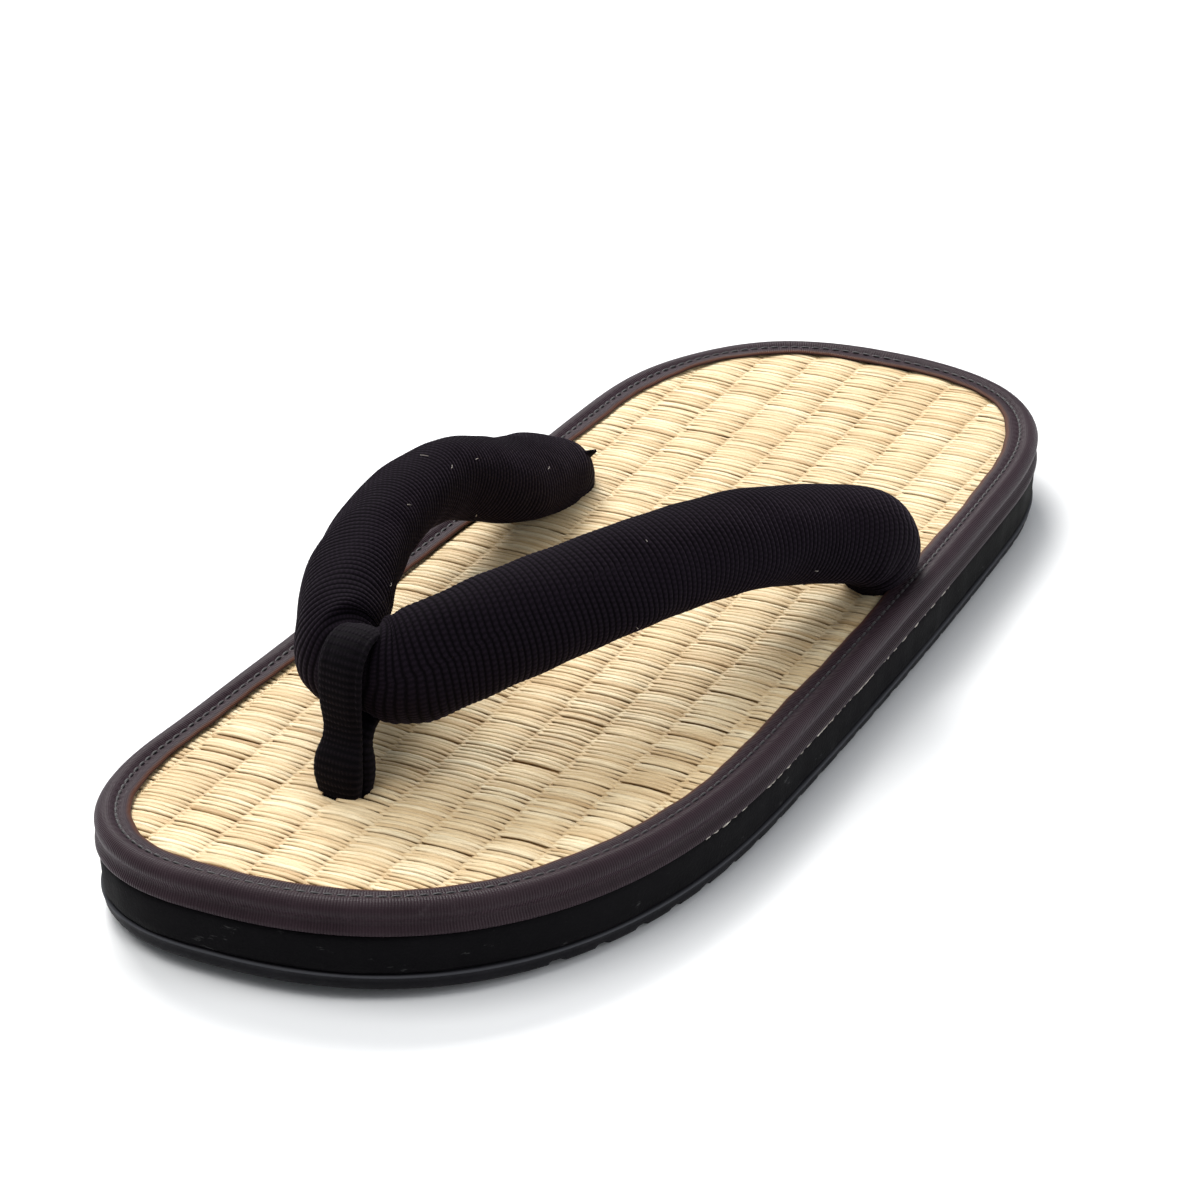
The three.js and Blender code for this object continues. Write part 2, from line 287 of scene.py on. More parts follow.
def spring(y):
    toe = np.clip((sole["toeSpringY"] - y) / (sole["toeSpringY"] - sole["toeY"]), 0, None)
    heel = np.clip((y - sole["heelSpringY"]) / (sole["heelY"] - sole["heelSpringY"]), 0, None)
    return sole["toeRise"] * toe**2 + sole["heelRise"] * heel**2


def archLift(y):
    share = np.clip((y - sole["archFrom"]) / (sole["archTo"] - sole["archFrom"]), 0, 1)
    return sole["archRise"] * np.sin(np.pi * share) ** 2


def soleEdge(count):
    turn = np.linspace(0, np.pi, sole["steps"])
    y = -sole["heelY"] * np.cos(turn)
    loop = np.vstack([np.stack([outerX(y), y], 1), np.stack([innerX(y), y], 1)[-2:0:-1]])
    loop = np.vstack([loop, loop[:1]])
    length = np.concatenate([[0], np.cumsum(np.linalg.norm(np.diff(loop, axis=0), axis=1))])
    place = np.arange(count) / count * length[-1]
    points = np.stack([np.interp(place, length, loop[:, i]) for i in (0, 1)], 1)
    reach = 3  # stations to each side that give the edge's direction
    along = np.roll(points, -reach, 0) - np.roll(points, reach, 0)
    along /= np.linalg.norm(along, axis=1, keepdims=True)
    return points, np.stack([along[:, 1], -along[:, 0]], 1), place, length[-1]


edgePoints, edgeOut, edgeAt, edgeLength = soleEdge(sole["stations"])


def ringAt(inset, z, lift=0.0):
    inset = np.broadcast_to(inset, len(edgePoints))
    flat = edgePoints - edgeOut * inset[:, None]
    height = np.broadcast_to(z, len(flat)) + spring(flat[:, 1]) + lift
    return np.column_stack([flat, height])


def layerMesh(name, rings, values=None):
    # rings from the bottom up, closed below and above by faces across the shoe
    grid = np.stack(rings)
    rows, count = grid.shape[:2]
    faces, cornerRows, _ = gridFaces(rows, count)
    faces = faces[:, ::-1]
    half = count // 2
    lids = []
    for base, flip in ((0, True), ((rows - 1) * count, False)):
        for i in range(half):
            quad = [base + i, base + i + 1, base + (count - i - 1) % count, base + (count - i) % count]
            quad = list(dict.fromkeys(quad))
            lids.append(quad if not flip else quad[::-1])
    corners = {}
    for key, column in (values or {}).items():
        side = np.asarray(column, float)[cornerRows[:, ::-1]]
        lidValues = [column[0] if i < half else column[-1] for i, f in enumerate(lids) for _ in f]
        corners[key] = np.concatenate([side.ravel(), lidValues])
    return meshFrom(name, grid.reshape(-1, 3), faces.tolist() + lids, corners)


# ---- outsole: moulded rubber with tread grooves that show as notches along its edge
outsole = {
    "first": -96.0, "last": 108.0, "pitch": 8.5, "width": 2.0, "depth": 1.1, "slope": 0.25, "archFade": 1.2,
    # inset, height, share of a groove's depth
    "wall": [
        (2.4, 0.0, 1.0), (1.5, 0.35, 0.75), (1.0, 1.1, 0.15), (0.85, 1.9, 0.0),
        (0.8, 2.65, 0.0), (0.55, 2.85, 0.0), (0.6, 3.12, 0.0), (1.1, 3.2, 0.0),
    ],
    "rim": [0, 0, 0, 0, 0.15, 1.0, 1.0, 0.3],
}


def treadDepth(y):
    near = (y - outsole["first"]) / outsole["pitch"]
    off = np.abs(near - np.round(near)) * outsole["pitch"]
    inside = (y > outsole["first"] - outsole["width"]) & (y < outsole["last"] + outsole["width"])
    slope = outsole["slope"]
    return inside * outsole["depth"] * np.clip((outsole["width"] / 2 + slope - off) / slope, 0, 1)


def rubberFinish():
    n = Nodes("outsoleRubber")
    rim = n.value("rim")
    grime = n.noise(260.0, 5.0, 0.6)
    dust = n.noise(45.0, 4.0)
    base = n.blend(n.spread(dust, 0.35, 0.75), (0.0026, 0.0022, 0.0036), (0.0062, 0.0055, 0.0082))
    color = n.blend(rim, base, (0.05, 0.051, 0.058))
    rough = n.spread(grime, 0.2, 0.8, 0.48, 0.72)
    height = n.noise(1500.0, 4.0)
    return n.finish(color=color, rough=rough, normal=n.bump(height, 0.00012, 0.5), gloss=0.12)


def makeOutsole():
    y = edgePoints[:, 1]
    rings = []
    for inset, z, notch in outsole["wall"]:
        lift = archLift(y) * max(0.0, 1 - z / outsole["archFade"]) + notch * treadDepth(y)
        rings.append(ringAt(inset, z, lift))
    piece = layerMesh("outsoleShell", rings, {"rim": outsole["rim"]})
    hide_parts("outsole")
    return dress(piece, rubberFinish())


makeOutsole()
print("outsole made")


# ---- midsole: cut foam, a little uneven, with scuffs
midsole = {
    # inset, height
    "wall": [(1.1, 3.45), (0.75, 3.9), (0.75, 5.2), (0.6, 7.4), (0.55, 9.4), (0.75, 10.4), (1.2, 10.6)],
    # length, height, phase
    "wave": [(41.0, 0.10, 0.3), (17.0, 0.05, 1.9), (7.3, 0.025, 0.8)],
}


def wavy(place, waves):
    total = np.zeros_like(place)
    for length, height, phase in waves:
        turns = max(1, round(edgeLength / length))
        total += height * np.sin(2 * np.pi * turns * place / edgeLength + phase)
    return total


def foamFinish():
    n = Nodes("midsoleFoam")
    where = n.put("ShaderNodeSeparateXYZ", {0: n.put("ShaderNodeTexCoord").outputs["Object"]})
    heel = n.spread(where.outputs["Y"], 0.03, 0.11)
    base = n.blend(heel, (0.0022, 0.0019, 0.0026), (0.0042, 0.0044, 0.0036))
    cloudy = n.noise(70.0, 4.0)
    base = n.blend(n.spread(cloudy, 0.45, 0.75, 0.0, 0.5), base, (0.0075, 0.007, 0.008))
    scratch = n.noise(160.0, 6.0, 0.7, n.place((1.0, 1.0, 3.5)))
    marks = n.spread(scratch, 0.64, 0.7)
    color = n.blend(n.math("MULTIPLY", marks, 0.4), base, (0.09, 0.09, 0.09))
    grain = n.noise(2600.0, 2.0)
    pores = n.put("ShaderNodeTexVoronoi", {"Vector": n.place(), "Scale": 1500.0}).outputs["Distance"]
    height = n.math("ADD", grain, n.math("MULTIPLY", pores, 0.6))
    rough = n.spread(cloudy, 0.3, 0.7, 0.62, 0.8)
    return n.finish(color=color, rough=rough, normal=n.bump(height, 0.00014, 0.45), gloss=0.06)


def makeMidsole():
    wave = wavy(edgeAt, midsole["wave"])
    rings = [ringAt(inset + wave, z) for inset, z in midsole["wall"]]
    piece = layerMesh("midsoleFoamBlock", rings)
    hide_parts("midsole")
    return dress(piece, foamFinish())


makeMidsole()
print("midsole made")


# ---- board under the mat, hidden by the mat and the tape
def boardFinish():
    n = Nodes("grayBoard")
    fibres = n.noise(900.0, 4.0)
    color = n.ramp(fibres, [(0.3, (0.16, 0.12, 0.075)), (0.7, (0.33, 0.26, 0.17))])
    return n.finish(color=color, rough=0.9, normal=n.bump(fibres, 0.0001, 0.4))


dress(frame["nodes"]["insole"], boardFinish())


# ---- edge tape: lip on the mat, stitched groove, padded roll, hollow side and the flange at the foam
tape = {
    # inset, height, and how much each row takes of the hollow, the lip's wander and the stitch pull
    "section": [
        (0.25, 10.75, 0.0, 0.0, 0.0), (-0.05, 11.0, 0.1, 0.0, 0.0), (-0.1, 11.5, 0.3, 0.0, 0.0),
        (0.1, 12.2, 0.8, 0.0, 0.0), (0.3, 12.9, 1.0, 0.0, 0.0), (0.2, 13.6, 0.7, 0.0, 0.0),
        (0.0, 14.3, 0.25, 0.0, 0.0), (0.05, 15.0, 0.0, 0.0, 0.0), (0.4, 15.8, 0.0, 0.0, 0.0),
        (1.0, 16.4, 0.0, 0.0, 0.0), (1.8, 16.72, 0.0, 0.0, 0.0), (2.6, 16.66, 0.0, 0.1, 0.1),
        (3.2, 16.38, 0.0, 0.2, 0.5), (3.65, 16.1, 0.0, 0.4, 1.0), (4.1, 16.24, 0.0, 0.6, 0.6),
        (4.8, 16.4, 0.0, 0.8, 0.1), (5.6, 16.34, 0.0, 1.0, 0.0), (6.15, 16.2, 0.0, 1.0, 0.0),
        (6.3, 15.98, 0.0, 1.0, 0.0), (6.15, 15.78, 0.0, 1.0, 0.0), (4.6, 15.75, 0.0, 0.6, 0.0),
        (3.2, 15.72, 0.0, 0.2, 0.0), (2.2, 15.5, 0.0, 0.0, 0.0), (1.5, 14.6, 0.0, 0.0, 0.0),
        (1.7, 13.0, 0.4, 0.0, 0.0), (1.7, 11.6, 0.0, 0.0, 0.0), (1.5, 10.8, 0.0, 0.0, 0.0),
    ],
    "sectionSteps": 62, "lipWave": [(60.0, 0.18, 0.4), (23.0, 0.09, 2.1), (9.0, 0.05, 0.2)],
    "heelWave": 0.22, "rollWave": [(75.0, 0.10, 1.1), (31.0, 0.06, 0.4)],
    "ribPitch": 0.52, "warpPitch": 0.34, "hemFrom": 5.75, "hemHeight": 15.7,
    "stitchPitch": 2.35, "stitchPull": 0.13, "stitchInset": 3.66, "stitchHeight": 16.17, "stitchHalf": 0.92,
    "stitchRadius": 0.23,
    # the hollow along the side: millimetres from the toe tip along the +X side, reach, depth
    "hollows": [(150.0, 95.0, 1.1), (262.0, 40.0, 0.8), (-150.0, 90.0, 0.9), (0.0, 45.0, 0.3)],
}
stitchCount = round(edgeLength / tape["stitchPitch"])


def tapeRows():
    # the section's rows at every station, bent by the listed variations
    rows = np.array(tape["section"])
    side = (edgeAt + edgeLength / 2) % edgeLength - edgeLength / 2
    hollow = sum(depth * bell(side, at, reach) for at, reach, depth in tape["hollows"])
    hollow = hollow * (1 + 0.18 * np.sin(edgeAt / 9.0) * np.sin(edgeAt / 23.0))  # uneven along the side
    heel = bell(edgePoints[:, 1], sole["heelY"] - 12, 26)
    lip = wavy(edgeAt, tape["lipWave"]) + tape["heelWave"] * heel * np.sin(edgeAt / 4.1)
    roll = wavy(edgeAt, tape["rollWave"])
    pull = tape["stitchPull"] * np.cos(2 * np.pi * stitchCount * edgeAt / edgeLength)
    inset = rows[None, :, 0] + rows[None, :, 2] * hollow[:, None] + rows[None, :, 3] * lip[:, None]
    top = np.clip((rows[:, 1] - 14) / 2.6, 0, 1)
    onRoll = top * bell(rows[:, 0], 1.5, 1.6)
    height = rows[None, :, 1] + rows[None, :, 4] * pull[:, None] + onRoll[None] * roll[:, None]
    return inset, height


def tapeFinish():
    n = Nodes("edgeTapeGrosgrain")
    along, across = n.value("along"), n.value("across")
    wander = n.noise(30.0, 2.0)
    phase = n.math("ADD", along, n.math("MULTIPLY", wander, 0.9))
    rib = n.math("SINE", n.math("MULTIPLY", phase, 2 * math.pi / tape["ribPitch"]))
    ribHigh = n.spread(rib, -1.0, 1.0)
    warp = n.math("SINE", n.math("MULTIPLY", across, 2 * math.pi / tape["warpPitch"]))
    cloudy = n.noise(120.0, 4.0)
    base = n.blend(n.spread(cloudy, 0.3, 0.7), (0.0125, 0.0062, 0.0088), (0.021, 0.0115, 0.0155))
    # rib crests painted lighter than the hollows between them: painted highlight and shade on the ribs
    base = n.blend(n.math("MULTIPLY", ribHigh, 0.5), base, (0.04, 0.0255, 0.032))
    # painted warm shade along the lip's inner edge where it meets the mat; the hem value is its mask
    hemWarmShade = n.blend(n.value("hem"), base, (0.075, 0.026, 0.012))
    worn = n.spread(n.noise(420.0, 5.0, 0.7), 0.62, 0.75, 0.0, 0.18)
    color = n.blend(worn, hemWarmShade, (0.1, 0.085, 0.092))
    height = n.math("ADD", ribHigh, n.math("MULTIPLY", warp, 0.12))
    normal = n.bump(height, 0.00011, 0.6)
    rough = n.spread(ribHigh, 0.0, 1.0, 0.5, 0.34)
    return n.finish(color=color, rough=rough, normal=normal, sheen=0.05, sheenRough=0.4,
                    sheenTint=(0.86, 0.62, 0.78, 1), gloss=0.11)


def threadFinish(name, low, high):
    n = Nodes(name)
    twist = n.noise(3200.0, 2.0)
    return n.finish(color=n.ramp(twist, [(0.3, low), (0.7, high)]), rough=0.6,
                    normal=n.bump(twist, 0.00008, 0.6), sheen=0.2)


def makeTape():
    inset, height = tapeRows()
    steps, count, rowCount = tape["sectionSteps"], len(edgePoints), inset.shape[1]
    # the first section made smooth, with the share that each of its points takes of each row
    first = np.column_stack([inset[0], height[0], np.zeros(rowCount), np.eye(rowCount)])
    smooth, around = smoothCurve(first, steps, closed=True)
    weights = smooth[:, 3:]
    profileInset, profileHeight = inset @ weights.T, height @ weights.T
    grid = np.empty((count, steps, 3))
    for c in range(steps):
        grid[:, c] = ringAt(profileInset[:, c], profileHeight[:, c])
    along = np.broadcast_to(np.append(edgeAt, edgeLength)[:, None], (count + 1, steps + 1))
    total = np.append(around, around[-1] + around[1])
    across = np.broadcast_to(total[None], (count + 1, steps + 1))
    middle = np.append(profileInset.mean(0), profileInset[:, 0].mean())
    topHeight = np.append(profileHeight.mean(0), profileHeight[:, 0].mean())
    # the lip's inner edge, which takes the painted warm shade
    onLip = np.clip((middle - tape["hemFrom"]) / 0.5, 0, 1)
    hem = onLip * np.clip((topHeight - tape["hemHeight"]) / 0.2, 0, 1)
    hem = np.broadcast_to(hem[None], (count + 1, steps + 1))
    piece = sweptGrid("edgeTape", grid[:, ::-1], closeRows=True,
                      values={"along": along, "across": across[:, ::-1], "hem": hem[:, ::-1]})
    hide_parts("binding")
    return dress(piece, tapeFinish())


def makeStitches():
    half = tape["stitchHalf"]
    place = (np.arange(stitchCount) + 0.5) * edgeLength / stitchCount
    reach = np.linspace(-half, half, 7)
    at = (place[:, None] + reach[None]) % edgeLength
    wrap = np.append(edgeAt, edgeLength)
    lines = np.empty((stitchCount, len(reach), 3))
    ring = ringAt(tape["stitchInset"], tape["stitchHeight"])
    for axis in range(3):
        lines[:, :, axis] = np.interp(at, wrap, np.append(ring[:, axis], ring[0, axis]))
    arc = 0.14 * (1 - (reach / half) ** 2) - 0.1 * np.abs(reach / half) ** 6
    lines[:, :, 2] += arc[None] + 0.02 * np.sin(place * 1.7)[:, None]
    taper = 1 - 0.35 * np.abs(reach[None] / half) ** 4
    radius = np.full(lines.shape[:2], tape["stitchRadius"]) * taper
    piece = manyTubes("tapeStitches", lines, 7, radius, 0.8)
    thread = threadFinish("stitchThread", (0.004, 0.003, 0.004), (0.016, 0.013, 0.016))
    return dress(piece, thread)


makeTape()
makeStitches()
print("edge tape and stitches made")


# ---- rush mat: each strand shows in every other cell between two warp lines
mat = {
    "coreInset": 2.4, "coreLow": 14.0, "coreTop": 14.9, "cell": 9.9, "firstLine": -11.6, "lean": -0.012,
    "leanFrom": -20.0, "underLip": 4.3, "seed": 11,
    # strands: spacing, height, bow, half widths at the ends and the middle, stations along each
    "pitch": 1.24, "level": 15.08, "rise": 0.5, "bow": 0.62, "halfEnd": 0.30, "halfMiddle": 0.65,
    "squash": 0.5, "stations": [0.0, 0.07, 0.2, 0.4, 0.6, 0.8, 0.93, 1.0], "sides": 7, "overlap": 0.7,
    "shortest": 1.2,
    # strands beside and under the lip are pressed down by this much, from this far inside the edge
    "press": 0.26, "pressFrom": 8.6, "pressReach": 2.6,
}
warpPair = {"step": 0.39, "radius": 0.14, "level": 15.12, "across": 0.24, "up": 0.16,
            "edge": 1.2, "room": 0.9, "clear": 1.75, "fewest": 6}
strapHoles = []  # filled in by the strap: place, direction and half sizes of each hole


def rushFinish():
    n = Nodes("rushStraw")
    tone, share = n.value("tone"), n.value("share")
    streak = n.noise(1.0, 4.0, 0.65, n.place((160.0, 2600.0, 600.0)))
    fine = n.noise(1.0, 3.0, 0.6, n.place((420.0, 6500.0, 1500.0)))
    patch = n.noise(38.0, 2.0)
    straw = n.ramp(n.math("ADD", tone, n.math("MULTIPLY", n.math("SUBTRACT", patch, 0.5), 0.35)), [
        (0.0, (0.45, 0.29, 0.13)), (0.3, (0.62, 0.445, 0.235)), (0.65, (0.75, 0.585, 0.345)),
        (1.0, (0.85, 0.725, 0.485))])
    streaked = n.blend(n.spread(streak, 0.42, 0.72, 0.0, 0.55), straw, (0.36, 0.225, 0.095))
    pale = n.blend(n.spread(fine, 0.55, 0.75, 0.0, 0.45), streaked, (0.84, 0.72, 0.49))
    # painted shade at both ends of every strand, where it dives under the warp
    ends = n.math("ABSOLUTE", n.math("SUBTRACT", share, 0.5))
    color = n.blend(n.spread(ends, 0.36, 0.5, 0.0, 0.6), pale, (0.38, 0.22, 0.09))
    # painted shade over the +X half of every strand, darker towards its +X end, as if lit from the -X side
    color = n.blend(n.spread(share, 0.55, 0.95, 0.0, 0.3), color, (0.42, 0.26, 0.115))
    height = n.math("ADD", streak, n.math("MULTIPLY", fine, 0.5))
    return n.finish(color=color, rough=n.spread(fine, 0.3, 0.7, 0.42, 0.62),
                    normal=n.bump(height, 0.00028, 0.55), gloss=0.42, sheen=0.08)


def warpFinish():
    n = Nodes("warpThread")
    fibre = n.noise(2400.0, 3.0)
    return n.finish(color=n.ramp(fibre, [(0.3, (0.36, 0.24, 0.11)), (0.7, (0.66, 0.5, 0.28))]), rough=0.8,
                    normal=n.bump(fibre, 0.0001, 0.5))


def coreFinish():
    n = Nodes("matCore")
    streak = n.noise(1.0, 3.0, 0.6, n.place((120.0, 1800.0, 400.0)))
    # dark brown so the gaps between strands show dark: partly the core's own straw colour, partly painted
    # shade
    color = n.ramp(streak, [(0.3, (0.34, 0.2, 0.08)), (0.7, (0.6, 0.4, 0.19))])
    return n.finish(color=color, rough=0.85, normal=n.bump(streak, 0.0003, 0.5))


def matSides():
    # the mat's edge under the lip, as its -X and its +X side
    ring = edgePoints - edgeOut * mat["underLip"]
    half = len(ring) // 2
    outer, inner = ring[:half + 1], np.vstack([ring[:1], ring[half:][::-1]])
    return inner[np.argsort(inner[:, 1])], outer[np.argsort(outer[:, 1])]


innerSide, outerSide = matSides()


def matSpan(y):
    low = np.interp(y, innerSide[:, 1], innerSide[:, 0])
    high = np.interp(y, outerSide[:, 1], outerSide[:, 0])
    return low, high


def warpLine(line, y):
    return mat["firstLine"] + line * mat["cell"] + mat["lean"] * (y - mat["leanFrom"])


def freeSpans(low, high, y):
    # what is left of a span across the mat once the strap's and the loop's holes are taken out
    spans = [(low, high)]
    for hole in strapHoles:
        c, s = math.cos(hole["turn"]), math.sin(hole["turn"])
        a2, b2 = hole["halfAlong"] ** 2, hole["halfAcross"] ** 2
        dy = y - hole["y"]
        qa = c * c / b2 + s * s / a2
        qb = -2 * dy * s * c * (1 / b2 - 1 / a2)
        qc = dy * dy * (s * s / b2 + c * c / a2) - 1
        root = qb * qb - 4 * qa * qc
        if root <= 0:
            continue
        left = hole["x"] + (-qb - math.sqrt(root)) / (2 * qa)
        right = hole["x"] + (-qb + math.sqrt(root)) / (2 * qa)
        spans = [p for a, b in spans for p in ((a, min(b, left)), (max(a, right), b)) if p[1] > p[0]]
    return spans


def pressed(lines):
    # how far each point of the strands is pushed down beside and under the lip
    flat = lines[:, :, :2].reshape(-1, 2)
    nearest = [np.sqrt(((part[:, None] - edgePoints[None, ::2]) ** 2).sum(2).min(1))
               for part in np.array_split(flat, 24)]
    inside = np.concatenate(nearest).reshape(lines.shape[:2])
    return mat["press"] * np.clip((mat["pressFrom"] - inside) / mat["pressReach"], 0, 1)


def strand(low, high, start, y, cell, jitter):
    # one strand between two x, bowed and tilted as its place in the cell asks
    x = low + (high - low) * np.array(mat["stations"])
    full = mat["cell"] + 2 * mat["overlap"]
    place = np.clip((x - (start - mat["overlap"])) / full, 0, 1)
    arch = np.sin(np.pi * place) ** mat["bow"]
    bend = 0.16 * jitter[3] * np.sin(np.pi * place) + 0.05 * jitter[4] * np.cos(2 * np.pi * place)
    tilt = 0.22 * (place - 0.5) * (1 if cell % 2 else -1)
    half = mat["halfEnd"] + (mat["halfMiddle"] - mat["halfEnd"]) * arch
    z = mat["level"] + mat["rise"] * arch + 0.03 * jitter[4]
    return np.column_stack([x, y + bend + tilt, z + spring(y)]), half * (1 + 0.09 * jitter[5])


def makeRush():
    draw = np.random.default_rng(mat["seed"])
    lines, widths, tones = [], [], []
    yLow, yHigh = sole["toeY"] + mat["underLip"], sole["heelY"] - mat["underLip"]
    for cell in range(-5, 6):
        offset = 0.5 * mat["pitch"] * (cell % 2)
        for row in range(int((yHigh - yLow) / mat["pitch"]) + 1):
            jitter = draw.normal(0, 1, 6)
            y = yLow + 0.4 + row * mat["pitch"] + offset + 0.10 * jitter[0]
            if y > yHigh - 0.2:
                continue
            start = warpLine(cell, y)
            low, high = matSpan(y)
            a = max(start - mat["overlap"] + 0.25 * jitter[1], low)
            b = min(start + mat["cell"] + mat["overlap"] + 0.25 * jitter[2], high)
            for spanLow, spanHigh in freeSpans(a, b, y):
                if spanHigh - spanLow < mat["shortest"]:
                    continue
                line, width = strand(spanLow, spanHigh, start, y, cell, jitter)
                lines.append(line)
                widths.append(width)
                tones.append(np.clip(0.62 + 0.2 * draw.normal(), 0.02, 1.0))
    lines, widths = np.array(lines), np.array(widths)
    lines[:, :, 2] -= pressed(lines)
    piece = manyTubes("rushStrands", lines, mat["sides"], widths, mat["squash"], np.array(tones))
    print("rush strands:", len(lines), "faces:", len(piece.data.polygons))
    return dress(piece, rushFinish())


def warpRuns(line, side):
    # the stretches of one warp thread that lie on the mat, clear of the lip, the strap and the loop
    runs, run = [], []
    for y in np.arange(sole["toeY"] + 5, sole["heelY"] - 5, warpPair["step"]):
        x = warpLine(line, y)
        low, high = matSpan(y)
        room = warpPair["room"]
        clear = [s for s in freeSpans(x - room, x + room, y) if s[1] - s[0] > warpPair["clear"]]
        if low + warpPair["edge"] < x < high - warpPair["edge"] and clear:
            turn = np.pi * y / mat["pitch"]
            z = warpPair["level"] + side * warpPair["up"] * np.sin(turn) + spring(y)
            run.append((x + side * warpPair["across"] * np.cos(turn), y, z))
        else:
            runs.append(run)
            run = []
    runs.append(run)
    return [np.array(run) for run in runs if len(run) > warpPair["fewest"]]


def makeWarp():
    # two fine threads twist round each other along every line between cells
    lines = [run for line in range(-4, 7) for side in (-1, 1) for run in warpRuns(line, side)]
    pieces = []
    for i, run in enumerate(lines):
        pieces.append(manyTubes(f"warp{i}", run[None], 4, np.full((1, len(run)), warpPair["radius"])))
    return dress(joined(pieces, "warpThreads"), warpFinish())


def joined(pieces, name):
    with bpy.context.temp_override(active_object=pieces[0], selected_editable_objects=pieces):
        bpy.ops.object.join()
    pieces[0].name = name
    return pieces[0]


def makeCore():
    rings = [ringAt(mat["coreInset"], mat["coreLow"]), ringAt(mat["coreInset"], mat["coreTop"])]
    piece = layerMesh("matCore", rings)
    corners = 48
    angle = 2 * np.pi * np.arange(corners) / corners
    for i, hole in enumerate(strapHoles):
        c, s = math.cos(hole["turn"]), math.sin(hole["turn"])
        u, v = hole["halfAcross"] * np.cos(angle), hole["halfAlong"] * np.sin(angle)
        flat = np.column_stack([hole["x"] + c * u - s * v, hole["y"] + s * u + c * v])
        heights = (mat["coreLow"] - 4, mat["coreTop"] + 9.1)
        rows = np.stack([np.column_stack([flat, np.full(corners, z)]) for z in heights])
        cutter = sweptGrid(f"cutter{i}", rows[:, ::-1], caps=True)
        cut = piece.modifiers.new("hole", "BOOLEAN")
        cut.operation, cut.object, cut.solver = "DIFFERENCE", cutter, "EXACT"
        applyAll(piece)
        bpy.data.objects.remove(cutter)
    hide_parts("mat")
    return dress(piece, coreFinish())


def applyAll(piece):
    shape = piece.evaluated_get(bpy.context.evaluated_depsgraph_get())
    mesh = bpy.data.meshes.new_from_object(shape)
    piece.modifiers.clear()
    piece.data = mesh


# ---- strap: one stuffed tube from hole to hole, pinched by the toe loop
strap = {
    "x": -11.2, "y": -83.7, "turn": 0.098, "matTop": 15.4, "flattening": 0.042,
    # across, along, height, both pulled to +X, the -X arm's drop, half width, half thickness, facing
    "middle": (0.0, 5.4, 19.9, 0.0, 0.0, 6.1, 4.5, 0.0, -1.0, 0.1),
    "rows": [
        (5.2, 8.2, 19.9, 0.0, 0.0, 9.5, 7.0, 0.32, -0.95, 0.1),
        (11.3, 17.3, 22.4, 0.0, 0.0, 10.0, 8.0, 0.75, -0.6, 0.25),
        (22.0, 42.0, 25.2, 0.0, 0.3, 9.6, 7.4, 0.8, -0.2, 0.75),
        (28.3, 70.0, 23.4, 0.5, 1.3, 9.4, 7.2, 0.7, 0.2, 0.6),
        (31.0, 95.0, 17.0, 2.0, 4.8, 9.3, 8.6, 0.85, 0.5, 0.5),
        (35.5, 113.0, 9.4, 2.8, 4.2, 9.2, 8.4, 0.9, 0.3, 0.3),
        (35.0, 118.0, 3.0, 2.0, 1.6, 9.2, 6.9, 1.0, 0.1, 0.0),
        (34.9, 118.2, -3.6, 2.0, 0.0, 8.6, 5.3, 1.0, 0.0, 0.0),
    ],
    "rings": 250, "around": 40, "fineRings": 1370, "fineAround": 72,
    "startSize": 0.97, "pressure": 4.0, "simFrames": 18, "cap": 1.6,
    "heldBelow": 15.5, "heldFade": 5.0, "heldPast": 100.0, "heldAtLoop": 5.0,
    "meanRadius": 8.6, "footHole": (5.6, 8.2), "ribPitch": 1.17, "ribHeight": 0.2, "beadPitch": 0.92,
    # how far inside the sole's edge a low point of the strap stays, at the mat and from the lip's top up
    "lipClear": 6.75, "lipEase": 4.2, "lipTop": 16.7, "lipFade": 2.3, "lowBelow": 19.0, "endsPast": 24.0,
    # creases and lumps start above this height, calmer at the loop; ribs get shallower towards the ends
    "freeAbove": 16.0, "freeFade": 4.0, "calmAtLoop": 3.5, "smoothPast": 100.0, "smoothFade": 30.0,
    # creases: millimetres from the loop (+ on the +X arm), degrees round the tube (0 the outer face, -90 the
    # top, 90 the underside, 180 the inner face), direction from the strap's length, length, width, depth
    "creases": [
        (-5.5, -100, 82, 15, 1.3, 0.9), (-8.5, -120, 76, 18, 1.4, 0.8), (-12.0, -140, 70, 18, 1.6, 0.6),
        (-16.5, -150, 64, 16, 1.8, 0.4), (-6.0, 70, 84, 12, 1.5, 0.5), (6.0, -65, 86, 14, 1.3, 0.6),
        (8.5, -130, 80, 14, 1.5, 0.6), (6.5, 60, 88, 12, 1.5, 0.5), (119, 88, 78, 18, 1.8, 0.6),
        (124, 95, 84, 18, 1.7, 0.7), (129, 90, 88, 18, 1.7, 0.5), (-117, 88, 78, 18, 1.8, 0.6),
        (-122, 95, 84, 18, 1.7, 0.7), (-127, 90, 88, 18, 1.7, 0.5),
        (96, -30, 24, 26, 5.0, 0.2), (48, 10, 8, 44, 7.0, 0.2), (-50, -20, 12, 40, 7.0, 0.2),
    ],
    "lumps": [(31.0, 0.16, 0.7), (17.0, 0.10, 2.2), (11.0, 0.06, 0.1)],
}


def strapPlace(across, along, height):
    c, s = math.cos(-strap["turn"]), math.sin(-strap["turn"])
    place = np.stack([c * across - s * along + strap["x"], s * across + c * along + strap["y"],
                      strap["matTop"] + height], -1)
    place[..., 2] += spring(place[..., 1])
    return place


def strapTurned(across, along, up):
    c, s = math.cos(-strap["turn"]), math.sin(-strap["turn"])
    return np.stack([c * across - s * along, s * across + c * along, up], -1)


